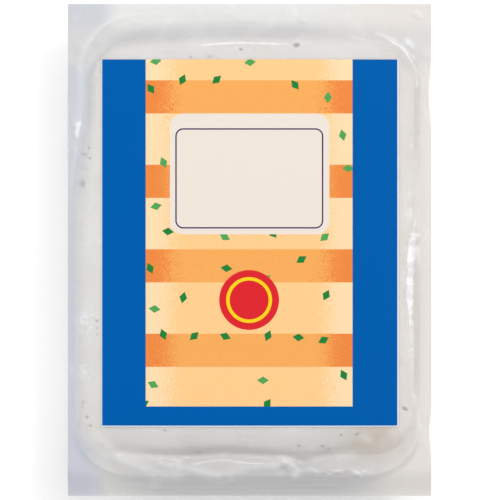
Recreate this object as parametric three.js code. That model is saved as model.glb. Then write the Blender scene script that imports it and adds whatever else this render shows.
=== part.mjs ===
// A retail pack of halloumi. The cheese is one slab folded in two, so it has a lower and an upper leaf.
// It is sealed under vacuum between two clear films, which cling to it and meet in a thin rim all round,
// and a printed label is stuck to the front. The pack lies on its back with the label up.
// Millimetres. +X is to the right of the label, +Y to its head and +Z out of its face.
// The origin is the middle of the pack's outline, on the surface that it lies on.
import * as THREE from "three";

// The straight-cut films, and the levels of the pack above the surface it lies on.
const PACK = { left: -48, right: 48, foot: -65, head: 65, corner: 0.4 };
const FACE_LEVEL = 23;
const FACE_CROWN = 0.4;
const FACE_ROUNDING = { halfWidth: 41, halfLength: 54, drop: 1 };
const RIM_LEVEL = 20;
const RIM_THICKNESS = 0.5;
const FOOT_DROOP = { middle: 3.8, corners: 1.8, halfWidth: 27, reach: 3 };

// Outlines that the film passes over on its way from the rim to the face.
const POCKET = { left: -47.4, right: 46.4, foot: -61.2, head: 62.4, corner: 15 };
const LOWER_LEAF_LIP = { left: -46, right: 45.1, foot: -59.4, head: 59.6, corner: 13.5 };
const LEAF_CREASE = { left: -44.4, right: 43.4, foot: -54, head: 57, corner: 11 };
const FACE_EDGE = { left: -41.2, right: 40.6, foot: -48.6, head: 54.1, corner: 4 };
const BASE_EDGE = { left: -40.5, right: 39, foot: -54, head: 54.5, corner: 9 };

// How far the lip rises over the rim, and how high the crease lies, at the sides, the foot and the head.
const LIP_RISE = { side: 0.27, foot: 0.55, head: 0.3 };
const CREASE_LEVEL = { side: 20.95, foot: 20.4, head: 20.95 };
const END_ZONE = { from: 42, to: 54 };

// The block is narrower at the head, where its left side draws in from the film's edge.
const LEFT_RECESS = { from: 8, to: 42, pocket: 1.6, lip: 1.6, crease: 1.5, face: 1, base: 2 };

// The head of the upper leaf and of the face is a shallow arch.
const HEAD_ARCH = { middle: 0, halfWidth: 38, drop: 2.4 };

// Two dips in the right edge, where the rim curls.
const EDGE_DIPS = [
  { y: 41, depth: 0.65, spread: 6 },
  { y: -48.5, depth: 0.65, spread: 4 },
];
const RIM_WAVE = { height: 0.45, sideLength: 64, endLength: 52 };

// Ridges and hollows where the film gathers: the points that each runs through, its height and its
// half width.
const FOLDS = [
  {
    through: [
      [33.5, 57.2], [35.5, 56.5], [38.4, 54.7], [41.1, 52.6], [43.2, 49.7], [44.5, 46.2], [45, 43.6],
    ],
    height: 0.22,
    spread: 0.9,
  },
  { through: [[41.4, 54.8], [43.2, 53.6]], height: 0.3, spread: 1.2 },
  { through: [[-21, 56.4], [-13, 57.6], [0, 58.2], [13, 57.6], [22.6, 56.4]], height: -0.22, spread: 2.8 },
  { through: [[-40.3, -50.6], [-33.4, -56], [-26.3, -58.7], [-18.9, -60.2]], height: 0.5, spread: 1.9 },
  { through: [[-23.4, -56.5], [-15.7, -58.1], [-8.6, -60]], height: 0.7, spread: 1.1 },
  { through: [[-5.7, -59.6], [0.1, -57.6], [7.5, -56]], height: 0.5, spread: 1.5 },
  { through: [[8.1, -55.4], [11.2, -56], [12.8, -58.1], [12.3, -60]], height: 0.8, spread: 1 },
  { through: [[9.1, -58.1], [10.2, -60]], height: -0.8, spread: 0.9 },
  { through: [[15, -58.3], [19.2, -58.7], [25.2, -58.1], [30.8, -59.3]], height: 0.4, spread: 1.2 },
  {
    through: [
      [-34, -53], [-28, -53.7], [-21.3, -54.8], [-13.6, -54.4], [-6.6, -53.6], [-2, -54],
      [3.5, -54.5], [8.1, -54.9], [14.1, -55.9], [16.8, -55.5], [20.9, -54.3], [27, -52.8],
    ],
    height: -0.5,
    spread: 1.5,
  },
  {
    through: [[-25, -54.2], [-13.6, -54.4], [-6.6, -53.6], [3.5, -54.5], [14.1, -55.9], [20.9, -54.3]],
    height: -0.6,
    spread: 1.2,
  },
  {
    through: [[-15, -54.6], [-6.6, -53.9], [-2, -54.2], [5, -54.8], [14, -56.1]],
    height: -0.6,
    spread: 1.7,
  },
];

// The label, its thickness, the hair of glue under it, and how far round it the film lies smooth.
const LABEL = { left: -39.05, right: 39.3, foot: -46.6, head: 50.3 };
const LABEL_THICKNESS = 0.3;
const LABEL_GAP = 0.1;
const LABEL_MARGIN = 2.5;
const LABEL_CELLS = { across: 10, up: 12 };

// How finely the pack is divided: steps along each stretch of a ring, and rings in each band.
const CORNER_STEPS = 14;
const END_STEPS = 20;
const SIDE_STEPS = 22;
const BAND_RINGS = { face: 3, shoulder: 6, crease: 3, lip: 4, rim: 2, wall: 8, base: 2 };

const COLOURS = { film: 0xdedddb, label: 0x005faf };

const smooth = (from, to, value) => THREE.MathUtils.smoothstep((value - from) / (to - from), 0, 1);

// The level at a point of a lip or crease, which differs between the long sides and the two ends.
function levelAt(levels, y) {
  const toFoot = smooth(END_ZONE.from, END_ZONE.to, -y);
  const toHead = smooth(END_ZONE.from, END_ZONE.to, y);
  return levels.side + (levels.foot - levels.side) * toFoot + (levels.head - levels.side) * toHead;
}

// The front face is slightly domed, and bends down a little further close to its edges.
function faceLevel(x, y) {
  const across = Math.abs(x) / FACE_ROUNDING.halfWidth;
  const up = Math.abs(y) / FACE_ROUNDING.halfLength;
  return FACE_LEVEL - FACE_CROWN * (across ** 2 + up ** 2) - FACE_ROUNDING.drop * (across ** 8 + up ** 8);
}

// The rim is never quite flat: it waves gently along all four edges, and droops at the foot, most in
// the middle.
function rimLevel(x, y) {
  const side = Math.sin((2 * Math.PI * y) / RIM_WAVE.sideLength + 0.6) * Math.abs(x / PACK.right) ** 3;
  const end = Math.sin((2 * Math.PI * x) / RIM_WAVE.endLength + 2) * Math.abs(y / PACK.head) ** 3;
  const towardsMiddle = Math.exp(-((x / FOOT_DROOP.halfWidth) ** 4));
  const droop = FOOT_DROOP.corners + (FOOT_DROOP.middle - FOOT_DROOP.corners) * towardsMiddle;
  const towardsFoot = smooth(-POCKET.foot - FOOT_DROOP.reach, -PACK.foot, -y);
  return RIM_LEVEL + (RIM_WAVE.height * (side + end)) / 2 - droop * towardsFoot;
}

// How far a point is from the nearest part of a run of straight stretches.
function distanceToRun(x, y, points) {
  let nearest = Infinity;
  for (let i = 0; i + 1 < points.length; i++) {
    const [ax, ay] = points[i];
    const [bx, by] = points[i + 1];
    const share = ((x - ax) * (bx - ax) + (y - ay) * (by - ay)) / ((bx - ax) ** 2 + (by - ay) ** 2);
    const along = THREE.MathUtils.clamp(share, 0, 1);
    nearest = Math.min(nearest, Math.hypot(x - ax - along * (bx - ax), y - ay - along * (by - ay)));
  }
  return nearest;
}

// The height that the folds add at a point. All fade out towards the label, which holds the film flat.
function foldHeight(x, y) {
  const beside = Math.max(LABEL.left - x, x - LABEL.right, 0);
  const beyond = Math.max(LABEL.foot - y, y - LABEL.head, 0);
  const fromLabel = smooth(0, LABEL_MARGIN, Math.hypot(beside, beyond));
  let height = 0;
  for (const { through, height: top, spread } of FOLDS) {
    height += top * Math.exp(-((distanceToRun(x, y, through) / spread) ** 2));
  }
  return height * fromLabel;
}

// A rounded rectangle as a ring of points, anticlockwise from the foot of its head-right corner.
// Every ring has the same number of points, so that rings of different sizes join one to one.
function roundedRing({ left, right, foot, head, corner }) {
  const centres = [
    [right - corner, head - corner],
    [left + corner, head - corner],
    [left + corner, foot + corner],
    [right - corner, foot + corner],
  ];
  const onArc = (quarter, turn) => {
    const [x, y] = centres[quarter % 4];
    const angle = ((quarter + turn) * Math.PI) / 2;
    return new THREE.Vector2(x + corner * Math.cos(angle), y + corner * Math.sin(angle));
  };
  const points = [];
  for (let quarter = 0; quarter < 4; quarter++) {
    for (let step = 0; step < CORNER_STEPS; step++) points.push(onArc(quarter, step / CORNER_STEPS));
    const arcEnd = onArc(quarter, 1);
    const nextArc = onArc(quarter + 1, 0);
    const steps = quarter % 2 ? SIDE_STEPS : END_STEPS;
    for (let step = 0; step < steps; step++) points.push(arcEnd.clone().lerp(nextArc, step / steps));
  }
  return points;
}

// The outline of the block at some level: a rounded ring whose left side draws in towards the head.
function blockRing(outline, recess) {
  return roundedRing(outline).map(({ x, y }) => {
    const leftShare = smooth(0, outline.left, x);
    return new THREE.Vector2(x + recess * leftShare * smooth(LEFT_RECESS.from, LEFT_RECESS.to, y), y);
  });
}

// The same, with its head drawn down in a shallow arch.
function archedRing(outline, recess) {
  return blockRing(outline, recess).map(({ x, y }) => {
    const offMiddle = Math.min(Math.abs(x - HEAD_ARCH.middle) / HEAD_ARCH.halfWidth, 1);
    return new THREE.Vector2(x, y - HEAD_ARCH.drop * offMiddle ** 2 * smooth(20, outline.head, y));
  });
}

// The cut edge of the films, with the two dips in its right side.
function cutRing() {
  return roundedRing(PACK).map(({ x, y }) => {
    let dip = 0;
    for (const { y: middle, depth, spread } of EDGE_DIPS) {
      dip += depth * Math.exp(-(((y - middle) / spread) ** 2));
    }
    return new THREE.Vector2(x - dip * smooth(PACK.right - 2, PACK.right, x), y);
  });
}

// Rings from one section to the next, without the first. Both shares map 0..1 along the band
// to how far a ring has gone across and how far it has gone in height.
function band(from, to, count, acrossShare, heightShare) {
  const rings = [];
  for (let i = 1; i <= count; i++) {
    const t = i / count;
    rings.push(
      from.map((start, k) => {
        const end = to[k];
        const across = acrossShare(t);
        const x = THREE.MathUtils.lerp(start.x, end.x, across);
        const y = THREE.MathUtils.lerp(start.y, end.y, across);
        return new THREE.Vector3(x, y, THREE.MathUtils.lerp(start.z, end.z, heightShare(t, y)));
      }),
    );
  }
  return rings;
}

const even = (t) => t;
const raise = (points, level) => points.map(({ x, y }) => new THREE.Vector3(x, y, level(x, y)));
const shrink = (points, share) => points.map(({ x, y }) => new THREE.Vector3(x * share, y * share, 0));

// The front of the pack, from the rim's cut edge in to the middle of the face.
function frontRings() {
  const overRim = (x, y) => rimLevel(x, y) + RIM_THICKNESS / 2;
  const cut = raise(cutRing(), overRim);
  const pocket = raise(blockRing(POCKET, LEFT_RECESS.pocket), overRim);
  const lipLevel = (x, y) => rimLevel(x, y) + levelAt(LIP_RISE, y);
  const lip = raise(blockRing(LOWER_LEAF_LIP, LEFT_RECESS.lip), lipLevel);
  const creaseLevel = (x, y) => levelAt(CREASE_LEVEL, y);
  const crease = raise(archedRing(LEAF_CREASE, LEFT_RECESS.crease), creaseLevel);
  const edge = raise(archedRing(FACE_EDGE, LEFT_RECESS.face), faceLevel);

  // The film leaves the rim in a soft hollow, except at the foot, where it steps up at once.
  const soft = (t) => t ** 1.5;
  const sudden = (t) => 1 - (1 - t) ** 2;
  const intoLip = (t, y) => THREE.MathUtils.lerp(soft(t), sudden(t), smooth(END_ZONE.from, END_ZONE.to, -y));
  const ontoFace = (t) => 0.5 * t + 0.5 * (1 - (1 - t) ** 2);
  const rings = [
    cut,
    ...band(cut, pocket, BAND_RINGS.rim, even, even).map((ring) => raise(ring, overRim)),
    ...band(pocket, lip, BAND_RINGS.lip, even, intoLip),
    ...band(lip, crease, BAND_RINGS.crease, even, even),
    ...band(crease, edge, BAND_RINGS.shoulder, even, ontoFace),
  ];
  for (let i = 1; i <= BAND_RINGS.face; i++) {
    const share = 1 - i / (BAND_RINGS.face + 1);
    rings.push(raise(shrink(edge, share), faceLevel));
  }
  for (const point of rings.slice(1).flat()) point.z += foldHeight(point.x, point.y);
  for (const point of rings.slice(1, BAND_RINGS.rim + BAND_RINGS.lip).flat()) {
    point.z = Math.max(point.z, overRim(point.x, point.y));
  }
  return rings;
}

// The back of the pack, from the rim's cut edge down the formed wall and in to the middle of the flat base.
function backRings() {
  const underRim = (x, y) => rimLevel(x, y) - RIM_THICKNESS / 2;
  const cut = raise(cutRing(), underRim);
  const pocket = raise(blockRing(POCKET, LEFT_RECESS.pocket), underRim);
  const base = raise(blockRing(BASE_EDGE, LEFT_RECESS.base), () => 0);

  const quarter = (t) => (t * Math.PI) / 2;
  const rings = [
    cut,
    ...band(cut, pocket, BAND_RINGS.rim, even, even).map((ring) => raise(ring, underRim)),
    ...band(pocket, base, BAND_RINGS.wall, (t) => 1 - Math.cos(quarter(t)), (t) => Math.sin(quarter(t))),
  ];
  for (let i = 1; i <= BAND_RINGS.base; i++) rings.push(shrink(base, 1 - i / (BAND_RINGS.base + 1)));
  return rings;
}

// Joins rings one to the next into a closed skin. The first and last rings close to a middle point.
function skinGeometry(rings, firstMiddle, lastMiddle) {
  const count = rings[0].length;
  const points = [firstMiddle, ...rings.flat(), lastMiddle];
  const at = (ring, step) => 1 + ring * count + (step % count);
  const faces = [];
  for (let step = 0; step < count; step++) {
    faces.push(0, at(0, step), at(0, step + 1));
    for (let ring = 0; ring + 1 < rings.length; ring++) {
      faces.push(at(ring, step), at(ring + 1, step), at(ring + 1, step + 1));
      faces.push(at(ring, step), at(ring + 1, step + 1), at(ring, step + 1));
    }
    faces.push(points.length - 1, at(rings.length - 1, step + 1), at(rings.length - 1, step));
  }
  const geometry = new THREE.BufferGeometry().setFromPoints(points);
  geometry.setIndex(faces);
  geometry.computeVertexNormals();
  return geometry;
}

function makePack() {
  const front = frontRings().reverse();
  const back = backRings();
  const geometry = skinGeometry(
    [...front, ...back],
    new THREE.Vector3(0, 0, faceLevel(0, 0)),
    new THREE.Vector3(0, 0, 0),
  );
  const film = new THREE.MeshStandardMaterial({ color: COLOURS.film, roughness: 0.25, metalness: 0 });
  const mesh = new THREE.Mesh(geometry, film);
  mesh.name = "pack";
  return mesh;
}

// The label is a flat card that bends with the crown of the face.
function makeLabel() {
  const width = LABEL.right - LABEL.left;
  const height = LABEL.head - LABEL.foot;
  const { across, up } = LABEL_CELLS;
  const geometry = new THREE.BoxGeometry(width, height, LABEL_THICKNESS, across, up, 1);
  geometry.translate(
    (LABEL.left + LABEL.right) / 2,
    (LABEL.foot + LABEL.head) / 2,
    LABEL_GAP + LABEL_THICKNESS / 2,
  );
  const position = geometry.attributes.position;
  for (let i = 0; i < position.count; i++) {
    const bend = faceLevel(position.getX(i), position.getY(i));
    position.setZ(i, position.getZ(i) + bend);
  }
  geometry.computeVertexNormals();
  const print = new THREE.MeshStandardMaterial({ color: COLOURS.label, roughness: 0.45, metalness: 0 });
  const mesh = new THREE.Mesh(geometry, print);
  mesh.name = "label";
  return mesh;
}

const halloumiPack = new THREE.Group();
halloumiPack.add(makePack(), makeLabel());

export default halloumiPack;
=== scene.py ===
# A retail pack of halloumi, lying on its back with its printed label up and seen from straight above.
# Lengths are written in millimetres, and MM turns them into Blender's metres.
import math

import bpy
import numpy as np
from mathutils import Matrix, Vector, noise


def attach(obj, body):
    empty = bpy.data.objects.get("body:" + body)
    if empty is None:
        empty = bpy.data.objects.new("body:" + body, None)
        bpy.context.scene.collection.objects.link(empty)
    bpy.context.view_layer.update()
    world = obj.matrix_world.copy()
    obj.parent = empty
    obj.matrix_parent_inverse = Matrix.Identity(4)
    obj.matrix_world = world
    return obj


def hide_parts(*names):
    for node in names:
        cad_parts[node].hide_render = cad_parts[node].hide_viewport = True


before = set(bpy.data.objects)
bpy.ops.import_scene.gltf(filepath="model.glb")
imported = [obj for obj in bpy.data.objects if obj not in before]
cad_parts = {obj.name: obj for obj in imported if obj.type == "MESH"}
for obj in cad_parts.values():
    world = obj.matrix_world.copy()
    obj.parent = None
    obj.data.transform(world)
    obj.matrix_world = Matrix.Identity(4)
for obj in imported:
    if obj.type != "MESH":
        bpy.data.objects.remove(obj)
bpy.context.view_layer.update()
bpy.ops.object.select_all(action="DESELECT")


# The cheese is one soft slab that was folded in two while warm, so it has a lower and an upper leaf.
# The leaves press flat on each other and leave a groove at the foot, the head and the right, and the
# fold runs down the left, where the block draws in towards the head. Creases of the film dent it.
MM = 0.001
FACE_LEVEL = 23.0
FACE_CROWN = 0.4
FACE_ROUNDING = dict(half_width=41.0, half_length=54.0, drop=1.0)
RIM_LEVEL = 20.0
FOOT_DROOP = dict(middle=3.8, corners=1.8, half_width=27.0, reach=3.0)
RIM_WAVE = dict(height=0.45, side_length=64, side_start=0.6, end_length=52, end_start=2)
PACK = dict(left=-48.0, right=48.0, foot=-65.0, head=65.0, corner=0.4)
POCKET = dict(left=-47.4, right=46.4, foot=-61.2, head=62.4, corner=15.0)
LOWER_LEAF_LIP = dict(left=-46.0, right=45.1, foot=-59.4, head=59.6, corner=13.5)
LEAF_CREASE = dict(left=-44.4, right=43.4, foot=-54.0, head=57.0, corner=11.0)
FACE_EDGE = dict(left=-41.2, right=40.6, foot=-48.6, head=54.1, corner=4.0)
BASE_EDGE = dict(left=-40.5, right=39.0, foot=-54.0, head=54.5, corner=9.0)
LABEL = dict(left=-39.05, right=39.3, foot=-46.6, head=50.3)
LABEL_MARGIN = 2.5
LIP_RISE = dict(side=0.27, foot=0.55, head=0.3)
CREASE_LEVEL = dict(side=20.95, foot=20.4, head=20.95)
END_ZONE = (42.0, 54.0)
SUDDEN_ZONE = (42.0, 26.0)
RECESS_ZONE = (8.0, 42.0)
CHEESE_RECESS = dict(pocket=3.4, lip=3.0, crease=2.4, face=1.0, base=2.4)
HEAD_ARCH = dict(middle=0.0, half_width=38.0, drop=2.4, start=20.0)
CORNER_STEPS, END_STEPS, SIDE_STEPS = 40, 108, 152
RING_STEPS = 4 * CORNER_STEPS + 2 * END_STEPS + 2 * SIDE_STEPS
TOE_RINGS, SLOPE_RINGS, SHOULDER_RINGS, WALL_RINGS = 14, 14, 24, 24
FACE_SHARES = (0.98, 0.95, 0.9, 0.8, 0.6, 0.4, 0.2, 0.0)
BASE_SHARES = (0.98, 0.9, 0.7, 0.35, 0.0)

# Each fold runs through these points, rises so high and reaches so far out to each side. The film and the
# cheese under it both follow it, and a height below zero makes a hollow.
FOLDS = [
    ([(33.5, 57.2), (35.5, 56.5), (38.4, 54.7), (41.1, 52.6), (43.2, 49.7), (44.5, 46.2), (45.0, 43.6)],
     0.22, 0.9),
    ([(41.4, 54.8), (43.2, 53.6)], 0.3, 1.2),
    ([(-21.0, 56.4), (-13.0, 57.6), (0.0, 58.2), (13.0, 57.6), (22.6, 56.4)], -0.22, 2.8),
    ([(-40.3, -50.6), (-33.4, -56.0), (-26.3, -58.7), (-18.9, -60.2)], 0.5, 1.9),
    ([(-23.4, -56.5), (-15.7, -58.1), (-8.6, -60.0)], 0.55, 1.4),
    ([(-5.7, -59.6), (0.1, -57.6), (7.5, -56.0)], 0.4, 2.0),
    ([(8.1, -55.4), (11.2, -56.0), (12.8, -58.1), (12.3, -60.0)], 0.8, 1.0),
    ([(9.1, -58.1), (10.2, -60.0)], -0.8, 0.9),
    ([(15.0, -58.3), (19.2, -58.7), (25.2, -58.1), (30.8, -59.3)], 0.4, 1.2),
    ([(-34.0, -53.0), (-28.0, -53.7), (-21.3, -54.8), (-13.6, -54.4), (-6.6, -53.6), (-2.0, -54.0),
      (3.5, -54.5), (8.1, -54.9), (14.1, -55.9), (16.8, -55.5), (20.9, -54.3), (27.0, -52.8)], -0.5, 1.5),
    ([(-25.0, -54.2), (-13.6, -54.4), (-6.6, -53.6), (3.5, -54.5), (14.1, -55.9), (20.9, -54.3)],
     -0.3, 1.4),
    ([(-15.0, -54.6), (-6.6, -53.9), (-2.0, -54.2), (5.0, -54.8), (14.0, -56.1)], -0.6, 1.7),
]


def smooth(start, end, value):
    share = np.clip((value - start) / (end - start), 0, 1)
    return share * share * (3 - 2 * share)


def towards_foot(y):
    return smooth(*END_ZONE, -y)


def level_at(levels, y):
    towards_head = smooth(*END_ZONE, y)
    level = levels["side"] + (levels["foot"] - levels["side"]) * towards_foot(y)
    return level + (levels["head"] - levels["side"]) * towards_head


def face_level(x, y):
    across, up = np.abs(x) / FACE_ROUNDING["half_width"], np.abs(y) / FACE_ROUNDING["half_length"]
    crown = FACE_CROWN * (across ** 2 + up ** 2)
    return FACE_LEVEL - crown - FACE_ROUNDING["drop"] * (across ** 8 + up ** 8)


def rim_level(x, y):
    side_turn = 2 * math.pi * y / RIM_WAVE["side_length"] + RIM_WAVE["side_start"]
    end_turn = 2 * math.pi * x / RIM_WAVE["end_length"] + RIM_WAVE["end_start"]
    side = np.sin(side_turn) * np.abs(x / PACK["right"]) ** 3
    end = np.sin(end_turn) * np.abs(y / PACK["head"]) ** 3
    towards_middle = np.exp(-(x / FOOT_DROOP["half_width"]) ** 4)
    droop = FOOT_DROOP["corners"] + (FOOT_DROOP["middle"] - FOOT_DROOP["corners"]) * towards_middle
    at_foot = smooth(-POCKET["foot"] - FOOT_DROOP["reach"], -PACK["foot"], -y)
    return RIM_LEVEL + RIM_WAVE["height"] * (side + end) / 2 - droop * at_foot


def lip_level(x, y):
    return rim_level(x, y) + level_at(LIP_RISE, y)


def crease_level(x, y):
    return level_at(CREASE_LEVEL, y)


def over_rim(gap):
    """The level of the rim's upper side for that gap between the two sides, or of its lower side for a
    gap below zero."""
    return lambda x, y: rim_level(x, y) + gap / 2


def ridge(x, y, points, height, spread):
    """A soft ridge along a run of straight stretches."""
    nearest = np.full_like(x, np.inf)
    for (x1, y1), (x2, y2) in zip(points, points[1:]):
        share = ((x - x1) * (x2 - x1) + (y - y1) * (y2 - y1)) / ((x2 - x1) ** 2 + (y2 - y1) ** 2)
        along = np.clip(share, 0, 1)
        nearest = np.minimum(nearest, np.hypot(x - x1 - along * (x2 - x1), y - y1 - along * (y2 - y1)))
    return height * np.exp(-((nearest / spread) ** 2))


def clear_of_label(x, y):
    beside = np.maximum(np.maximum(LABEL["left"] - x, x - LABEL["right"]), 0)
    beyond = np.maximum(np.maximum(LABEL["foot"] - y, y - LABEL["head"]), 0)
    return smooth(0, LABEL_MARGIN, np.hypot(beside, beyond))


def rounded_ring(left, right, foot, head, corner):
    """x and y of a rounded rectangle, anticlockwise from the foot of its head-right corner."""
    centres = [(right - corner, head - corner), (left + corner, head - corner),
               (left + corner, foot + corner), (right - corner, foot + corner)]

    def arc(quarter, turn):
        x, y = centres[quarter % 4]
        angle = (quarter + np.atleast_1d(turn)) * math.pi / 2
        return np.column_stack([x + corner * np.cos(angle), y + corner * np.sin(angle)])

    runs = []
    for quarter in range(4):
        runs.append(arc(quarter, np.linspace(0, 1, CORNER_STEPS, endpoint=False)))
        steps = SIDE_STEPS if quarter % 2 else END_STEPS
        share = np.linspace(0, 1, steps, endpoint=False)[:, None]
        runs.append(arc(quarter, 1) * (1 - share) + arc(quarter + 1, 0) * share)
    return np.vstack(runs).T


def block_ring(outline, recess):
    """An outline of the block, whose left side draws in towards the head."""
    x, y = rounded_ring(**outline)
    return np.stack([x + recess * smooth(0, outline["left"], x) * smooth(*RECESS_ZONE, y), y])


def arched_ring(outline, recess):
    """The same, with its head drawn down in a shallow arch."""
    x, y = block_ring(outline, recess)
    off_middle = np.minimum(np.abs(x - HEAD_ARCH["middle"]) / HEAD_ARCH["half_width"], 1)
    at_head = smooth(HEAD_ARCH["start"], outline["head"], y)
    return np.stack([x, y - HEAD_ARCH["drop"] * off_middle ** 2 * at_head])


def raised(ring, level):
    x, y = ring
    return np.stack([x, y, level(x, y) if callable(level) else np.full_like(x, level)])


def band(start, end, count, across=lambda t: t, up=lambda t, x, y: t):
    """Rings from one section to the next, without the first."""
    rings = []
    for t in np.arange(1, count + 1) / count:
        x, y = start[:2] + (end[:2] - start[:2]) * across(t)
        rings.append(np.stack([x, y, start[2] + (end[2] - start[2]) * up(t, x, y)]))
    return rings


def into_lip(t, x, y):
    """The film leaves the rim in a soft hollow, but in the middle of the foot it steps up at once."""
    soft, sudden = t ** 1.5, 1 - (1 - t) ** 2
    return soft + (sudden - soft) * towards_foot(y) * smooth(*SUDDEN_ZONE, np.abs(x))


def onto_face(t, x, y):
    return 0.5 * t + 0.5 * (1 - (1 - t) ** 2)


def wall_in(t):
    return 1 - math.cos(t * math.pi / 2)


def wall_down(t, x, y):
    return math.sin(t * math.pi / 2)


def front_rings(gap, recess):
    """The block's front, from the middle of its face out to the rim."""
    pocket = raised(block_ring(POCKET, recess["pocket"]), over_rim(gap))
    lip = raised(arched_ring(LOWER_LEAF_LIP, recess["lip"]), lip_level)
    crease = raised(arched_ring(LEAF_CREASE, recess["crease"]), crease_level)
    edge = raised(arched_ring(FACE_EDGE, recess["face"]), face_level)
    rings = [pocket]
    rings += band(pocket, lip, TOE_RINGS, up=into_lip)
    rings += band(lip, crease, SLOPE_RINGS)
    rings += band(crease, edge, SHOULDER_RINGS, up=onto_face)
    rings += [raised(edge[:2] * share, face_level) for share in FACE_SHARES]
    rings = np.stack(rings[::-1])
    x, y, z = rings.transpose(1, 0, 2)
    folded = z + sum(ridge(x, y, *fold) for fold in FOLDS) * clear_of_label(x, y)
    rings[:, 2] = folded
    rings[-TOE_RINGS:, 2] = np.maximum(folded, over_rim(gap)(x, y))[-TOE_RINGS:]
    return rings


def back_rings(gap, recess):
    """The block's back, from the rim down the formed wall and in to the middle of the flat base."""
    pocket = raised(block_ring(POCKET, recess["pocket"]), over_rim(-gap))
    base = raised(block_ring(BASE_EDGE, recess["base"]), 0.0)
    rings = [pocket]
    rings += band(pocket, base, WALL_RINGS, wall_in, wall_down)
    rings += [raised(base[:2] * share, 0.0) for share in BASE_SHARES]
    return np.stack(rings)


def outward(rings):
    """The direction straight out of the surface at every point of a stack of rings."""
    along = np.roll(rings, -1, axis=2) - np.roll(rings, 1, axis=2)
    down = np.gradient(rings, axis=0)
    normal = np.cross(down, along, axis=1)
    length = np.linalg.norm(normal, axis=1, keepdims=True)
    straight = np.zeros_like(normal)
    straight[:, 2] = np.where(rings[:, 2] > RIM_LEVEL, 1, -1)
    return np.where(length > 1e-6, normal / np.maximum(length, 1e-9), straight)


def lumps(rings, size, seed):
    """Soft unevenness between -1 and 1, for lumps of about that size."""
    spots = rings.transpose(0, 2, 1).reshape(-1, 3) / size + np.array([seed, 0, 0])
    return np.array([noise.noise(spot) for spot in spots]).reshape(rings.shape[0], rings.shape[2])


def skin_of(rings, name, **attributes):
    """A closed skin over a stack of rings whose first and last ones are single points.

    Each attribute has a value for every point of the rings."""
    count, _, steps = rings.shape
    bpy.ops.mesh.primitive_grid_add(x_subdivisions=steps, y_subdivisions=count - 1, size=1)
    skin = bpy.context.object
    skin.name = skin.data.name = name
    around = np.concatenate([rings, rings[:, :, :1]], axis=2)
    skin.data.vertices.foreach_set("co", (around.transpose(0, 2, 1) * MM).ravel())
    for key, values in attributes.items():
        values = np.concatenate([values, values[:, :1]], axis=1).ravel()
        skin.data.attributes.new(key, "FLOAT", "POINT").data.foreach_set("value", values)
    bpy.ops.object.mode_set(mode="EDIT")
    bpy.ops.mesh.select_all(action="SELECT")
    bpy.ops.mesh.remove_doubles(threshold=1e-7)
    bpy.ops.mesh.normals_make_consistent(inside=False)
    bpy.ops.object.mode_set(mode="OBJECT")
    bpy.ops.object.shade_smooth_by_angle(angle=math.radians(50))
    bpy.ops.object.select_all(action="DESELECT")
    return skin


CHEESE_CLEARANCE = 0.16
LEAF_GROOVE = dict(level=10.5, half_height=0.9, depth=1.8)
FOLD_SIDE = dict(inner=-30, outer=-40, ends=(56, 48))
LUMPS = dict(size=9.0, seed=4.0, depth=0.12)

front = front_rings(0.0, CHEESE_RECESS)
cheese_rings = np.concatenate([front, back_rings(0.0, CHEESE_RECESS)[1:]])
x, y, z = cheese_rings.transpose(1, 0, 2)
off_groove = (z - LEAF_GROOVE["level"]) / LEAF_GROOVE["half_height"]
at_fold = smooth(FOLD_SIDE["inner"], FOLD_SIDE["outer"], x)
at_fold = at_fold * smooth(*FOLD_SIDE["ends"], -y) * smooth(*FOLD_SIDE["ends"], y)
groove = np.exp(-(off_groove ** 2)) * (1 - at_fold)
sunk = CHEESE_CLEARANCE + LEAF_GROOVE["depth"] * groove
sunk = sunk + LUMPS["depth"] * (1 - lumps(cheese_rings, LUMPS["size"], LUMPS["seed"]))
cheese_rings = cheese_rings - outward(cheese_rings) * sunk[:, None, :]
cheese = skin_of(cheese_rings, "cheese")


class Wire:
    """A value in a material's node tree, on which Python's arithmetic adds Math nodes."""

    def __init__(self, finish, socket):
        self.finish = finish
        self.socket = socket

    def math(self, operation, *values):
        return self.finish.node("ShaderNodeMath", {"operation": operation}, dict(enumerate(values)))

    def __add__(self, other):
        return self.math("ADD", self, other)

    def __sub__(self, other):
        return self.math("SUBTRACT", self, other)

    def __rsub__(self, other):
        return self.math("SUBTRACT", other, self)

    def __mul__(self, other):
        return self.math("MULTIPLY", self, other)

    def __truediv__(self, other):
        return self.math("DIVIDE", self, other)

    def __lt__(self, other):
        return self.math("LESS_THAN", self, other)

    def __gt__(self, other):
        return self.math("GREATER_THAN", self, other)

    def __abs__(self):
        return self.math("ABSOLUTE", self)

    __radd__ = __add__
    __rmul__ = __mul__

    def at_least(self, other):
        return self.math("MAXIMUM", self, other)

    def at_most(self, other):
        return self.math("MINIMUM", self, other)

    def root(self):
        return self.math("SQRT", self)

    def ramp(self, start, end, low=0.0, high=1.0):
        """Runs smoothly from low at start to high at end, and stays level outside them."""
        inputs = {"Value": self, "From Min": start, "From Max": end, "To Min": low, "To Max": high}
        return self.finish.node("ShaderNodeMapRange", {"interpolation_type": "SMOOTHSTEP"}, inputs)


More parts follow.
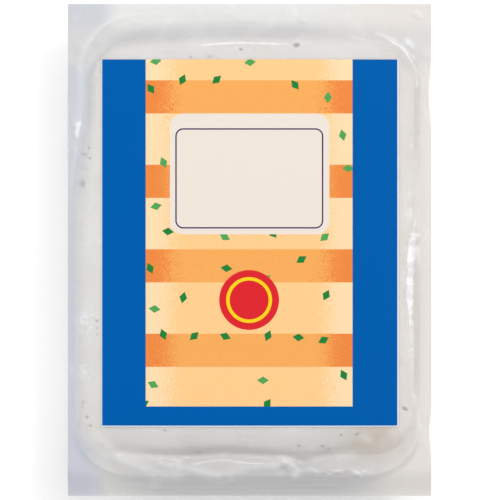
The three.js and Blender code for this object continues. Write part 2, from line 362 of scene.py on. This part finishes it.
class Finish:
    """A material's node tree: node() adds a node and gives its first output, or the one that is named."""

    # Where a Mix node of colours has its sockets.
    MIX = dict(share=0, first=6, second=7, result=2)

    def __init__(self, name):
        self.material = bpy.data.materials.new(name)
        self.material.use_nodes = True
        self.tree = self.material.node_tree
        self.tree.nodes.clear()
        self.place = self.node("ShaderNodeTexCoord", output="Object")

    def node(self, kind, settings=None, inputs=None, output=0):
        made = self.tree.nodes.new(kind)
        for name, value in (settings or {}).items():
            setattr(made, name, value)
        for name, value in (inputs or {}).items():
            if isinstance(value, Wire):
                self.tree.links.new(value.socket, made.inputs[name])
            else:
                made.inputs[name].default_value = value
        return Wire(self, made.outputs[output]) if made.outputs else None

    def axis(self, vector, name):
        """One coordinate of a vector, in millimetres."""
        return self.node("ShaderNodeSeparateXYZ", inputs={"Vector": vector}, output=name) / MM

    def attribute(self, name):
        return self.node("ShaderNodeAttribute", {"attribute_name": name}, output="Fac")

    def noise(self, size, detail=2.0):
        """Noise between 0 and 1, with features of about that many millimetres."""
        inputs = {"Vector": self.place, "Scale": 1 / (size * MM), "Detail": detail}
        return self.node("ShaderNodeTexNoise", inputs=inputs)

    def blend(self, share, first, second):
        """The first colour where share is 0 and the second where it is 1."""
        inputs = {self.MIX["share"]: share, self.MIX["first"]: first, self.MIX["second"]: second}
        return self.node("ShaderNodeMix", {"data_type": "RGBA"}, inputs, self.MIX["result"])

    def bump(self, height, depth):
        """A normal for relief that many millimetres deep."""
        inputs = {"Height": height, "Distance": depth * MM, "Strength": 1.0}
        return self.node("ShaderNodeBump", inputs=inputs)

    def shine(self, **inputs):
        """Ends the tree in a Principled shader with these inputs."""
        named = {name.replace("_", " "): value for name, value in inputs.items()}
        shader = self.node("ShaderNodeBsdfPrincipled", inputs=named)
        self.node("ShaderNodeOutputMaterial", inputs={"Surface": shader})
        return self.material


def tint(red, green, blue):
    """A colour given as it shows on a screen, from 0 to 255, turned into light."""
    shares = [c / 255 for c in (red, green, blue)]
    return tuple(s / 12.92 if s < 0.04 else ((s + 0.055) / 1.055) ** 2.4 for s in shares) + (1.0,)


CHEESE_PALE = tint(237, 235, 232)
CHEESE_DEEP = tint(230, 227, 223)
CHEESE_WHEY = tint(206, 184, 158)
WHEY_SPOT = dict(x=33.0, y=-49.0, reach=13.0)

curd = Finish("cheese")
mottle = curd.noise(13, detail=3).ramp(0.35, 0.65)
from_whey_x = curd.axis(curd.place, "X") - WHEY_SPOT["x"]
from_whey_y = curd.axis(curd.place, "Y") - WHEY_SPOT["y"]
from_whey = (from_whey_x * from_whey_x + from_whey_y * from_whey_y).root()
whey_share = from_whey.ramp(WHEY_SPOT["reach"], 0) * curd.noise(6, detail=3).ramp(0.3, 0.6)
curd_colour = curd.blend(mottle, CHEESE_PALE, CHEESE_DEEP)
pits = curd.noise(1.1, detail=4).ramp(0.28, 0.42)
grain = curd.noise(0.45)
cheese.data.materials.append(curd.shine(
    Base_Color=curd.blend(whey_share, curd_colour, CHEESE_WHEY),
    Roughness=0.42,
    Subsurface_Weight=0.3,
    Subsurface_Scale=0.0025,
    Subsurface_Radius=(1.0, 0.8, 0.6),
    Normal=curd.bump(pits + grain * 0.4, 0.12),
))
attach(cheese, "root")


# Dried mint is sprinkled into the fold and over the block. The bits are crumbs of leaf, dull and up to two
# millimetres long, and the film presses them half into the cheese. The photo shows these: each has its
# place, length, width and turn. More are scattered over the sides and the back.
MINT_SEEN = [
    (-44.0, 25.4, 2.4, 0.6, 80), (-44.8, 21.9, 0.7, 0.5, 10), (-44.4, 17.7, 2.3, 2.0, 60),
    (-42.4, 27.0, 0.7, 0.5, 0), (-42.1, 24.3, 0.6, 0.5, 40), (-45.4, -8.5, 0.8, 0.6, 90),
    (-43.9, -40.2, 0.7, 0.5, 0), (-44.1, -41.2, 0.6, 0.4, 70), (-42.9, -43.9, 0.8, 0.6, 30),
    (-45.2, -46.2, 0.7, 0.5, 0), (-42.1, -46.2, 0.7, 0.5, 50), (40.9, -41.7, 1.5, 0.9, 75),
    (41.6, -52.8, 0.7, 0.5, 20), (28.7, -48.3, 0.9, 0.6, 0), (23.9, -48.7, 0.7, 0.5, 60),
    (19.4, -51.8, 0.9, 0.6, 15), (20.7, -52.4, 0.7, 0.5, 80), (12.8, -51.5, 0.8, 0.6, 40),
    (0.9, -58.7, 0.8, 0.6, 0), (-13.6, -53.6, 0.9, 0.6, 30), (-35.5, -56.6, 0.8, 0.5, 20),
    (-22.3, -47.4, 0.7, 0.5, 0), (12.3, 54.0, 1.7, 1.0, 25), (-2.5, 52.3, 0.9, 0.6, 0),
    (-10.4, 51.2, 0.7, 0.5, 45), (-15.7, 51.5, 0.7, 0.5, 10), (-40.2, -18.6, 0.8, 0.5, 85),
    (-40.4, -20.6, 0.6, 0.5, 0), (-40.1, -22.4, 0.7, 0.4, 60),
]
MINT_SCATTERED = dict(count=70, seed=11, length=(0.5, 1.6), width_share=(0.5, 0.9))
MINT_THICKNESS = 0.16
MINT_RAGGEDNESS = dict(height=0.5, frequency=1.3)
MINT_DULL = tint(116, 116, 118)
MINT_PALE = tint(148, 148, 150)

cheese_facing = outward(cheese_rings)


def add_fleck(ring, step, length, width, turn):
    """A crumb of leaf that lies on the cheese at one point of its rings."""
    point, up = Vector(cheese_rings[ring, :, step]), Vector(cheese_facing[ring, :, step])
    bpy.ops.mesh.primitive_ico_sphere_add(subdivisions=2, radius=1)
    fleck = bpy.context.object
    lie = up.to_track_quat("Z", "Y").to_matrix()
    cosine, sine = math.cos(math.radians(turn)), math.sin(math.radians(turn))
    for vertex in fleck.data.vertices:
        spot = vertex.co * MINT_RAGGEDNESS["frequency"] + Vector((ring, step, 0))
        crumb = 1 + MINT_RAGGEDNESS["height"] * noise.noise(spot)
        long, wide = vertex.co.x * crumb * length / 2, vertex.co.y * crumb * width / 2
        high = vertex.co.z * MINT_THICKNESS / 2
        turned = Vector((long * cosine - wide * sine, long * sine + wide * cosine, high))
        vertex.co = (point + lie @ turned) * MM
    return fleck


flecks = []
for fleck_x, fleck_y, length, width, turn in MINT_SEEN:
    away = np.hypot(cheese_rings[:len(front), 0] - fleck_x, cheese_rings[:len(front), 1] - fleck_y)
    flecks.append(add_fleck(*np.unravel_index(away.argmin(), away.shape), length, width, turn))
draw = np.random.default_rng(MINT_SCATTERED["seed"])
for index in range(MINT_SCATTERED["count"]):
    ring, step = int(draw.integers(len(front), len(cheese_rings) - 1)), int(draw.integers(RING_STEPS))
    length = draw.uniform(*MINT_SCATTERED["length"])
    width = length * draw.uniform(*MINT_SCATTERED["width_share"])
    flecks.append(add_fleck(ring, step, length, width, draw.uniform(0, 180)))
for fleck in flecks:
    fleck.select_set(True)
bpy.ops.object.join()
mint = bpy.context.object
mint.name = mint.data.name = "mint_flecks"
bpy.ops.object.shade_smooth()
bpy.ops.object.select_all(action="DESELECT")

leaf = Finish("mint")
mint.data.materials.append(leaf.shine(
    Base_Color=leaf.blend(leaf.noise(1.5), MINT_DULL, MINT_PALE),
    Roughness=0.7,
    Normal=leaf.bump(leaf.noise(0.3, detail=3), 0.05),
))
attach(mint, "root")


# Two clear plastic films, one flat and one formed to a pocket, meet in a flat rim that is cut straight
# all round. The vacuum pulls them tight on the cheese, and what is left over gathers in small creases.
FILM_GAP = 0.3
FILM_RECESS = dict(pocket=1.6, lip=1.6, crease=1.5, face=1.0, base=2.0)
RIM_RINGS = dict(over=14, under=10)
EDGE_DIPS = [dict(y=41.0, depth=0.65, spread=6.0), dict(y=-48.5, depth=0.65, spread=4.0)]
EDGE_DIP_REACH = 2
CREASES = dict(count=90, seed=8, turn=0.45, start=(-1.5, 2.5), length=(1.5, 5.0), height=(0.02, 0.08),
               spread=(0.7, 1.3))
PACK_SLIMNESS = 1.35
CUT_MARGIN = 1.5

# The fine ridges that the film alone has, given as the folds are.
FINE_FOLDS = [
    ([(-26.3, 51.4), (-18.4, 52.9), (-11.8, 53.8), (-3.8, 54.3), (3.3, 54.1), (10.7, 54.0), (16.0, 53.6)],
     0.22, 0.5),
    ([(44.0, 62.6), (45.4, 61.6)], 0.3, 0.5), ([(-46.6, 33.3), (-44.9, 33.8), (-45.9, 30.6)], 0.4, 0.6),
    ([(41.1, 17.4), (41.1, 10.4)], 0.12, 0.4), ([(19.6, -58.9), (21.2, -58.3), (23.6, -58.6)], 0.3, 0.4),
    ([(27.8, -59.6), (29.8, -58.6)], 0.3, 0.5), ([(-20.0, -64.0), (18.0, -64.0)], 0.18, 0.3),
    ([(-26.0, -63.1), (8.0, -63.0)], 0.15, 0.25), ([(4.0, -62.3), (24.0, -62.5)], 0.15, 0.3),
    ([(-29.8, 60.0), (-29.5, 60.0)], 0.22, 0.4), ([(14.0, 60.5), (14.2, 60.5)], 0.22, 0.4),
]

# Painted highlights laid on as milky film where it is stretched over a fold: the run, how milky, and how
# far out to each side.
PAINTED_GLINT_RUNS = [
    ([(33.5, 57.2), (35.5, 56.5), (38.4, 54.7), (41.1, 52.6), (43.2, 49.7), (44.5, 46.2)], 0.5, 0.3),
    ([(27.2, 56.2), (33.5, 54.9), (38.5, 54.3), (41.4, 54.4)], 0.25, 0.4),
    ([(41.6, 55.2), (43.0, 53.8)], 0.7, 0.6), ([(44.0, 62.6), (45.4, 61.6)], 0.6, 0.4),
    ([(-46.0, 33.2), (-44.9, 33.4), (-45.5, 31.4), (-45.6, 30.2)], 0.8, 0.45),
    ([(-40.3, -50.6), (-33.4, -56.0), (-26.3, -58.7), (-18.9, -60.2)], 0.2, 1.6),
    ([(-23.4, -56.5), (-15.7, -58.1), (-8.6, -60.0)], 0.22, 1.3),
    ([(-5.7, -59.6), (0.1, -57.6), (7.5, -56.0)], 0.12, 1.8),
    ([(8.1, -55.4), (11.2, -56.0), (12.8, -58.1), (12.3, -60.0)], 0.25, 0.8),
    ([(15.9, -57.6), (18.2, -58.6)], 0.5, 0.3), ([(20.6, -59.3), (22.4, -58.4), (24.6, -58.3)], 0.5, 0.3),
    ([(27.4, -58.4), (29.0, -59.0), (29.6, -59.5)], 0.7, 0.4),
    ([(41.2, 17.7), (41.1, 9.2)], 0.4, 0.25),
]


def cut_ring():
    """The cut edge of the films, with two dips in its right side."""
    x, y = rounded_ring(**PACK)
    dip = sum(d["depth"] * np.exp(-((y - d["y"]) / d["spread"]) ** 2) for d in EDGE_DIPS)
    return x - dip * smooth(PACK["right"] - EDGE_DIP_REACH, PACK["right"], x), y


def creases(x, y):
    """Short fine creases that run in from the rim, more or less square to it."""
    draw = np.random.default_rng(CREASES["seed"])
    foot = block_ring(POCKET, FILM_RECESS["pocket"])
    height = np.zeros_like(x)
    for index in range(CREASES["count"]):
        x1, y1 = foot[:, draw.integers(RING_STEPS)]
        heading = math.atan2(-y1 / PACK_SLIMNESS, -x1) + draw.normal(0, CREASES["turn"])
        start, length = draw.uniform(*CREASES["start"]), draw.uniform(*CREASES["length"])
        x1, y1 = x1 + start * math.cos(heading), y1 + start * math.sin(heading)
        x2, y2 = x1 + length * math.cos(heading), y1 + length * math.sin(heading)
        rise, spread = draw.uniform(*CREASES["height"]), draw.uniform(*CREASES["spread"])
        height += ridge(x, y, [(x1, y1), (x2, y2)], rise, spread)
    return height


def on_rim(start, end, count, gap):
    """Rings from one outline on the rim to the next, without the first."""
    return [raised(ring[:2], over_rim(gap)) for ring in band(start, end, count)]


film_front, film_back = front_rings(FILM_GAP, FILM_RECESS), back_rings(FILM_GAP, FILM_RECESS)
over_cut, under_cut = raised(cut_ring(), over_rim(FILM_GAP)), raised(cut_ring(), over_rim(-FILM_GAP))
rim_over = on_rim(film_front[-1], over_cut, RIM_RINGS["over"], FILM_GAP)
rim_under = on_rim(under_cut, film_back[0], RIM_RINGS["under"], -FILM_GAP)
film_over = np.concatenate([film_front, rim_over])
film_under = np.concatenate([[under_cut], rim_under, film_back[1:]])
x, y, z = film_over.transpose(1, 0, 2)
from_cut = np.minimum(PACK["right"] - np.abs(x), PACK["head"] - np.abs(y))
fine = creases(x, y) + sum(ridge(x, y, *fold) for fold in FINE_FOLDS)
film_over[:, 2] += fine * clear_of_label(x, y) * smooth(0, CUT_MARGIN, from_cut)

# The film is slack where it has left the cheese: towards the rim, and where the block draws in. The first
# two pairs count rings, from the middle of the face out and from the cut edge in, and the third is a gap.
SLACK = dict(over=(18, 54), under=(17, 11), gap=(0.0, 1.3))
from_middle = np.arange(len(film_over))[:, None]
from_edge = np.arange(len(film_under))[:, None]
over_gap = np.hypot(*(film_front[:, :2] - front[:, :2]).transpose(1, 0, 2))
over_gap = np.concatenate([over_gap, np.repeat(over_gap[-1:], len(rim_over), axis=0)])
slack_over = np.maximum(smooth(*SLACK["over"], from_middle), smooth(*SLACK["gap"], over_gap))
slack_under = np.repeat(smooth(*SLACK["under"], from_edge), RING_STEPS, axis=1)
# Painted highlights along the fold runs, carried to the film's material as a point attribute.
stretched = sum(ridge(x, y, *run) for run in PAINTED_GLINT_RUNS)
film = skin_of(
    np.concatenate([film_over, film_under]), "film",
    slack=np.concatenate([slack_over, slack_under]),
    stretched=np.concatenate([stretched, np.zeros_like(slack_under)]),
)

# The film's haze is pale in the middle, with light and shade painted on it: a painted cool shade at the
# left that deepens towards the foot, painted warm light at the right, and painted shade at the ends, along
# the foot's rim and in the hollow at the head. Each zone is the run of x or y over which it comes in.
HAZE_COOL_SHADE_FOOT = tint(199, 203, 213)
HAZE_COOL_SHADE_HEAD = tint(203, 206, 212)
HAZE_PALE = tint(227, 227, 226)
HAZE_WARM_LIGHT = tint(227, 222, 217)
HAZE_SHADE = tint(214, 213, 212)
HAZE_FOOT_RIM_SHADE = tint(203, 202, 202)
HAZE_HOLLOW_SHADE = tint(202, 202, 205)
# The whitish colour of the painted highlights and of the real cloudy blotches.
HAZE_MILKY_AND_HIGHLIGHT = tint(243, 245, 250)
COOL_SHADE_LENGTH = (-55, 40)
COOL_SHADE_SIDE = (-48, -42)
COOL_SHADE_WIDER = [dict(y=(-45, -62), by=8), dict(y=(8, 40), by=4), dict(y=(44, 62), by=4)]
WARM_LIGHT_SIDE = (10, 46)
FOOT_SHADE = dict(y=(-40, -49), left=(-46, -34), right=(46, 26))
HEAD_SHADE = dict(foot=(46, 51), head=(61, 57), share=0.8)
FOOT_RIM_SHADE = dict(y=(-53.5, -58), off_middle=(38, 22))
HOLLOW_SHADE = dict(foot=(54.3, 56.5), head=(61.5, 57.5), middle=-8, off_middle=(38, 20))
DULL_FOOT = dict(x=(18, 8), y=(-53, -56))
DULL_CORNER = dict(x=(-28, -40), y=(40, 52))

# The milky streak is a painted highlight, bowed and tapering at both ends, with a scalloped edge. The
# blotches are cloudy.
HIGHLIGHT_STREAK = dict(x=42.3, y=-13.0, bend=0.0033, head=(9.0, 1.0), foot=(-25.0, -10.0), half_width=1.0)
HIGHLIGHT_STREAK_EDGE = dict(scallop=1.6, softness=0.25, share=0.75)
BLOTCHES = [dict(x=-42.6, y=-18.8, reach=4.0), dict(x=-43.6, y=-32.2, reach=2.6)]
BLOTCH_EDGE = dict(fade=(1.0, 0.3), gaps=(0.4, 0.62), share=0.6)
PAINTED_GLINT_MOST = 0.85
MILKY_AND_HIGHLIGHT_LEVELS = (14, 18)
FILM_ROUGHNESS = dict(tight=0.09, slack=0.09, dull=0.07)
FILM_ALPHA = dict(tight=0.4, slack=0.45, cloud=0.1, milky_and_highlight=0.9)

clear = Finish("film")
slack_here = clear.attribute("slack")
stretched_here = clear.attribute("stretched")
here_x = clear.axis(clear.place, "X")
here_y = clear.axis(clear.place, "Y")
here_z = clear.axis(clear.place, "Z")
cloud = clear.noise(7, detail=4).ramp(0.55, 0.75)
patches = clear.noise(9, detail=3).ramp(0.3, 0.6, 0.5, 1.0)
scallop = clear.noise(1.6, detail=2)
ripple = clear.noise(2.5, detail=1.5)

# Painted cool shade at the left, darker towards the foot, and painted warm light at the right.
cool_shade = clear.blend(here_y.ramp(*COOL_SHADE_LENGTH), HAZE_COOL_SHADE_FOOT, HAZE_COOL_SHADE_HEAD)
cool_shade_wider = sum(here_y.ramp(*zone["y"], 0, zone["by"]) for zone in COOL_SHADE_WIDER)
haze_and_painted_light = clear.blend((here_x - cool_shade_wider).ramp(*COOL_SHADE_SIDE), cool_shade, HAZE_PALE)
haze_and_painted_light = clear.blend(here_x.ramp(*WARM_LIGHT_SIDE), haze_and_painted_light, HAZE_WARM_LIGHT)
# Painted shade over the face towards the foot and at the head.
foot_shade = here_x.ramp(*FOOT_SHADE["left"]) * here_x.ramp(*FOOT_SHADE["right"])
foot_shade = foot_shade * here_y.ramp(*FOOT_SHADE["y"])
head_shade = here_y.ramp(*HEAD_SHADE["foot"]) * here_y.ramp(*HEAD_SHADE["head"]) * HEAD_SHADE["share"]
haze_and_painted_light = clear.blend(foot_shade.at_least(head_shade), haze_and_painted_light, HAZE_SHADE)
# Painted shade along the foot's rim and lip, deepest in the middle.
foot_rim_shade = here_y.ramp(*FOOT_RIM_SHADE["y"]) * abs(here_x).ramp(*FOOT_RIM_SHADE["off_middle"])
haze_and_painted_light = clear.blend(foot_rim_shade, haze_and_painted_light, HAZE_FOOT_RIM_SHADE)
# Painted shade in the hollow along the head, above the arched edge of the upper leaf, in patches.
over_arch = here_y + here_x * here_x * (HEAD_ARCH["drop"] / HEAD_ARCH["half_width"] ** 2)
hollow_shade = over_arch.ramp(*HOLLOW_SHADE["foot"]) * over_arch.ramp(*HOLLOW_SHADE["head"])
hollow_shade = hollow_shade * abs(here_x - HOLLOW_SHADE["middle"]).ramp(*HOLLOW_SHADE["off_middle"])
haze_and_painted_light = clear.blend(hollow_shade * patches, haze_and_painted_light, HAZE_HOLLOW_SHADE)

# Painted highlights along the fold runs and the right-side streak, with the real cloudy blotches, whiten
# the film and make it less clear.
milky_and_highlight = (stretched_here * scallop.ramp(0.3, 0.6, 0.7, 1.3)).at_most(PAINTED_GLINT_MOST)
# A painted highlight streak down the right shoulder.
from_bend = here_y - HIGHLIGHT_STREAK["y"]
highlight_streak_x = from_bend * from_bend * HIGHLIGHT_STREAK["bend"] + HIGHLIGHT_STREAK["x"]
highlight_streak_width = here_y.ramp(*HIGHLIGHT_STREAK["head"]) * here_y.ramp(*HIGHLIGHT_STREAK["foot"]) * HIGHLIGHT_STREAK["half_width"]
off_highlight_streak = abs(here_x - highlight_streak_x) - highlight_streak_width - (scallop - 0.5) * HIGHLIGHT_STREAK_EDGE["scallop"]
in_highlight_streak = off_highlight_streak.ramp(HIGHLIGHT_STREAK_EDGE["softness"], -HIGHLIGHT_STREAK_EDGE["softness"])
in_highlight_streak = in_highlight_streak * (here_y < HIGHLIGHT_STREAK["head"][0]) * (here_y > HIGHLIGHT_STREAK["foot"][0])
milky_and_highlight = milky_and_highlight.at_least(in_highlight_streak * HIGHLIGHT_STREAK_EDGE["share"])
for blotch in BLOTCHES:
    off_x, off_y = (here_x - blotch["x"]) / blotch["reach"], (here_y - blotch["y"]) / blotch["reach"]
    in_blotch = (off_x * off_x + off_y * off_y).ramp(*BLOTCH_EDGE["fade"])
    in_blotch = in_blotch * scallop.ramp(*BLOTCH_EDGE["gaps"])
    milky_and_highlight = milky_and_highlight.at_least(in_blotch * BLOTCH_EDGE["share"])
milky_and_highlight = milky_and_highlight * here_z.ramp(*MILKY_AND_HIGHLIGHT_LEVELS)

dull = here_x.ramp(*DULL_FOOT["x"]) * here_y.ramp(*DULL_FOOT["y"])
dull = dull.at_least(here_x.ramp(*DULL_CORNER["x"]) * here_y.ramp(*DULL_CORNER["y"]))
roughness = FILM_ROUGHNESS["tight"] + slack_here * FILM_ROUGHNESS["slack"] + dull * FILM_ROUGHNESS["dull"]
alpha = FILM_ALPHA["tight"] + slack_here * FILM_ALPHA["slack"] + cloud * FILM_ALPHA["cloud"]
film.data.materials.append(clear.shine(
    Base_Color=clear.blend(milky_and_highlight, haze_and_painted_light, HAZE_MILKY_AND_HIGHLIGHT),
    Roughness=roughness,
    IOR=1.6,
    Alpha=alpha.at_least(milky_and_highlight * FILM_ALPHA["milky_and_highlight"]),
    Normal=clear.bump(ripple, 0.04),
))
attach(film, "root")
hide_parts("pack")


# The label is a sheet of printed paper, cut square and stuck flat on the face of the pack.
# Its print is a blue field round a panel of peach and orange stripes, with flecks of green, a cream plate
# and a red disc with a yellow ring. A hair of white paper stays bare at the left, the right and the foot.
LABEL_THICKNESS = 0.12
LABEL_LIFT = 0.03
LABEL_CELLS = dict(across=52, up=64)

bpy.ops.mesh.primitive_grid_add(
    x_subdivisions=LABEL_CELLS["across"],
    y_subdivisions=LABEL_CELLS["up"],
    size=1,
)
label = bpy.context.object
label.name = label.data.name = "label_sheet"
for vertex in label.data.vertices:
    across, up = vertex.co.x + 0.5, vertex.co.y + 0.5
    vertex_x = LABEL["left"] + (LABEL["right"] - LABEL["left"]) * across
    vertex_y = LABEL["foot"] + (LABEL["head"] - LABEL["foot"]) * up
    vertex.co = Vector((vertex_x, vertex_y, face_level(vertex_x, vertex_y) + LABEL_LIFT)) * MM
thickness = label.modifiers.new("thickness", "SOLIDIFY")
thickness.thickness = LABEL_THICKNESS * MM
thickness.offset = 1
bpy.ops.object.modifier_apply(modifier=thickness.name)
bpy.ops.object.shade_smooth_by_angle(angle=math.radians(30))
bpy.ops.object.select_all(action="DESELECT")

BLUE = tint(0, 90, 167)
PEACH = tint(250, 199, 138)
PEACH_EDGE = tint(246, 215, 171)
ORANGE = tint(239, 168, 91)
ORANGE_EDGE = tint(231, 133, 65)
CREAM = tint(230, 220, 209)
PURPLE = tint(53, 19, 88)
LEAF_LIGHT = tint(81, 160, 86)
LEAF_DARK = tint(34, 126, 59)
RED = tint(215, 40, 48)
YELLOW = tint(243, 206, 29)
WHITE = tint(233, 238, 244)
BARE_EDGE = dict(left=0.12, right=0.24, foot=0.2)
PANEL = dict(left=-27.4, right=27.2, foot=-41.3)
STRIPES = dict(head=44.8, pitch=22.3, orange=8.75)
SPECKLE = dict(grain=0.28, reach=12.5, contrast=4, gain=1.7, middle=0.85, softness=0.25)
LEAVES = dict(cell=9.5, scatter=0.75, half_length=1.6, half_width=1.05, kept_over=0.25, dark_over=0.6)
PLATE = dict(x=0.05, y=20.1, width=42.1, height=31.9, corner=3.4)
FRAME_LINE = dict(x=-0.05, y=18.9, width=38.7, height=26.1, corner=1.9, line=0.37)
DISC = dict(x=-0.1, y=-13.2, radius=7.9, ring=5.6, line=0.9)

print_work = Finish("label")
here_x = print_work.axis(print_work.place, "X")
here_y = print_work.axis(print_work.place, "Y")


def outside_box(shape):
    """How far a place is outside a rounded box, in millimetres, and less than 0 inside it."""
    out_x = abs(here_x - shape["x"]) - (shape["width"] / 2 - shape["corner"])
    out_y = abs(here_y - shape["y"]) - (shape["height"] / 2 - shape["corner"])
    far_x, far_y = out_x.at_least(0), out_y.at_least(0)
    far = (far_x * far_x + far_y * far_y).root()
    return far + out_x.at_least(out_y).at_most(0) - shape["corner"]


in_panel = (here_x > PANEL["left"]) * (here_x < PANEL["right"]) * (here_y > PANEL["foot"])
down = STRIPES["head"] - here_y
stripes_above = down.math("FLOOR", down / STRIPES["pitch"])
in_orange = down - stripes_above * STRIPES["pitch"] < STRIPES["orange"]
from_side = (here_x - PANEL["left"]).at_most(PANEL["right"] - here_x)
near_side = from_side.ramp(0, SPECKLE["reach"], 1, 0)
speckle = (print_work.noise(SPECKLE["grain"], detail=1) - 0.5) * SPECKLE["contrast"]
speckle = speckle + near_side * SPECKLE["gain"] - SPECKLE["middle"]
speckled = speckle.ramp(-SPECKLE["softness"], SPECKLE["softness"])

peach = print_work.blend(speckled, PEACH, PEACH_EDGE)
orange = print_work.blend(speckled, ORANGE, ORANGE_EDGE)
panel = print_work.blend(in_orange, peach, orange)

# A leaf lies in most cells of a scattered grid, each with its own turn and one of two greens.
flat = print_work.node("ShaderNodeMapping", inputs={"Vector": print_work.place, "Scale": (1, 1, 0)})
cells = {"Vector": flat, "Scale": 1 / (LEAVES["cell"] * MM), "Randomness": LEAVES["scatter"]}
two_ways = {"voronoi_dimensions": "2D"}
spot = print_work.node("ShaderNodeTexVoronoi", two_ways, cells, output="Position")
luck = print_work.node("ShaderNodeTexVoronoi", two_ways, cells, output="Color")
luck_red = print_work.node("ShaderNodeSeparateColor", inputs={"Color": luck}, output="Red")
luck_green = print_work.node("ShaderNodeSeparateColor", inputs={"Color": luck}, output="Green")
off_x, off_y = here_x - print_work.axis(spot, "X"), here_y - print_work.axis(spot, "Y")
turn = luck_red * (2 * math.pi)
cosine, sine = turn.math("COSINE", turn), turn.math("SINE", turn)
along_leaf = abs(off_x * cosine + off_y * sine) / LEAVES["half_length"]
across_leaf = abs(off_y * cosine - off_x * sine) / LEAVES["half_width"]
in_leaf = (along_leaf + across_leaf < 1) * (luck_green > LEAVES["kept_over"])
leaf_green = print_work.blend(luck_green > LEAVES["dark_over"], LEAF_LIGHT, LEAF_DARK)

in_plate = outside_box(PLATE) < 0
on_frame = abs(outside_box(FRAME_LINE)) < FRAME_LINE["line"] / 2
from_disc_x, from_disc_y = here_x - DISC["x"], here_y - DISC["y"]
from_disc = (from_disc_x * from_disc_x + from_disc_y * from_disc_y).root()

artwork = print_work.blend(in_panel, BLUE, panel)
artwork = print_work.blend(in_leaf * in_panel, artwork, leaf_green)
artwork = print_work.blend(in_plate, artwork, CREAM)
artwork = print_work.blend(on_frame * in_plate, artwork, PURPLE)
artwork = print_work.blend(from_disc < DISC["radius"], artwork, RED)
artwork = print_work.blend(abs(from_disc - DISC["ring"]) < DISC["line"] / 2, artwork, YELLOW)
in_print = (here_x > LABEL["left"] + BARE_EDGE["left"]) * (here_x < LABEL["right"] - BARE_EDGE["right"])
in_print = in_print * (here_y > LABEL["foot"] + BARE_EDGE["foot"])
label.data.materials.append(print_work.shine(
    Base_Color=print_work.blend(in_print, WHITE, artwork),
    Roughness=0.5,
    Specular_IOR_Level=0.02,
    Normal=print_work.bump(print_work.noise(0.5, detail=3), 0.01),
))
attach(label, "root")
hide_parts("label")


# A plain white table, wide enough to fill every view. It lies a hair below the pack, so that the two don't
# meet in one plane.
FLOOR_SIZE = 6.0
FLOOR_GAP = 0.1

bpy.ops.mesh.primitive_plane_add(size=FLOOR_SIZE, location=(0, 0, -FLOOR_GAP * MM))
floor = bpy.context.object
floor.name = floor.data.name = "floor"
table = Finish("floor")
floor.data.materials.append(table.shine(
    Base_Color=tint(254, 254, 254),
    Roughness=0.8,
    Specular_IOR_Level=0.1,
    Emission_Color=(1.0, 1.0, 1.0, 1.0),
    Emission_Strength=0.12,
))


# Soft studio light: a wide main box high at the head right and a weaker cool one at the left. Four small
# ones draw the glints on the left edge, the right side, the head and the head-right corner.
def add_light(name, place, size, power, colour):
    bpy.ops.object.light_add(type="AREA", location=place)
    light = bpy.context.object
    light.name = name
    light.data.shape = "RECTANGLE"
    light.data.size, light.data.size_y = size
    light.data.energy = power
    light.data.color = colour
    light.rotation_mode = "QUATERNION"
    light.rotation_quaternion = Vector(place).to_track_quat("Z", "Y")


add_light("light_over", (0.38, 0.34, 1.05), (1.2, 1.2), 4.35, (1.0, 0.98, 0.96))
add_light("light_left", (-0.75, 0.1, 0.6), (1.0, 0.6), 1.6, (0.97, 0.99, 1.0))
add_light("light_glint", (-0.97, -0.08, 0.3), (0.3, 0.2), 1.2, (0.96, 0.96, 1.0))
add_light("light_right", (0.545, -0.01, 0.78), (0.04, 0.26), 0.25, (0.95, 0.98, 1.0))
add_light("light_head", (-0.03, 0.81, 0.59), (0.14, 0.22), 0.9, (1.0, 1.0, 1.0))
add_light("light_corner", (0.4, 0.4, 0.8), (0.34, 0.1), 1.6, (1.0, 1.0, 1.0))

world = bpy.data.worlds.new("studio")
world.use_nodes = True
world.node_tree.nodes["Background"].inputs["Color"].default_value = (1.0, 1.0, 1.0, 1.0)
world.node_tree.nodes["Background"].inputs["Strength"].default_value = 0.56
bpy.context.scene.world = world
bpy.context.scene.view_settings.view_transform = "Standard"


# The camera looks straight down from far off, with the pack at the photo's scale and place. The pack's
# middle is half a pixel left of the photo's.
CAMERA_HEIGHT = 3.0
CAMERA_REACH = 20.0
CAMERA_SENSOR = 36.0
PHOTO_WIDTH = 500
PACK_PIXELS = 492
OFF_CENTRE = 0.5

millimetres_per_pixel = (PACK["head"] - PACK["foot"]) / PACK_PIXELS
camera_x = OFF_CENTRE * millimetres_per_pixel * MM
bpy.ops.object.camera_add(location=(camera_x, 0, CAMERA_HEIGHT), rotation=(0, 0, 0))
camera = bpy.context.object
camera.data.sensor_width = CAMERA_SENSOR
seen_width = PHOTO_WIDTH * millimetres_per_pixel * MM
camera.data.lens = CAMERA_SENSOR * (CAMERA_HEIGHT - RIM_LEVEL * MM) / seen_width
camera.data.clip_end = CAMERA_REACH
bpy.context.scene.camera = camera
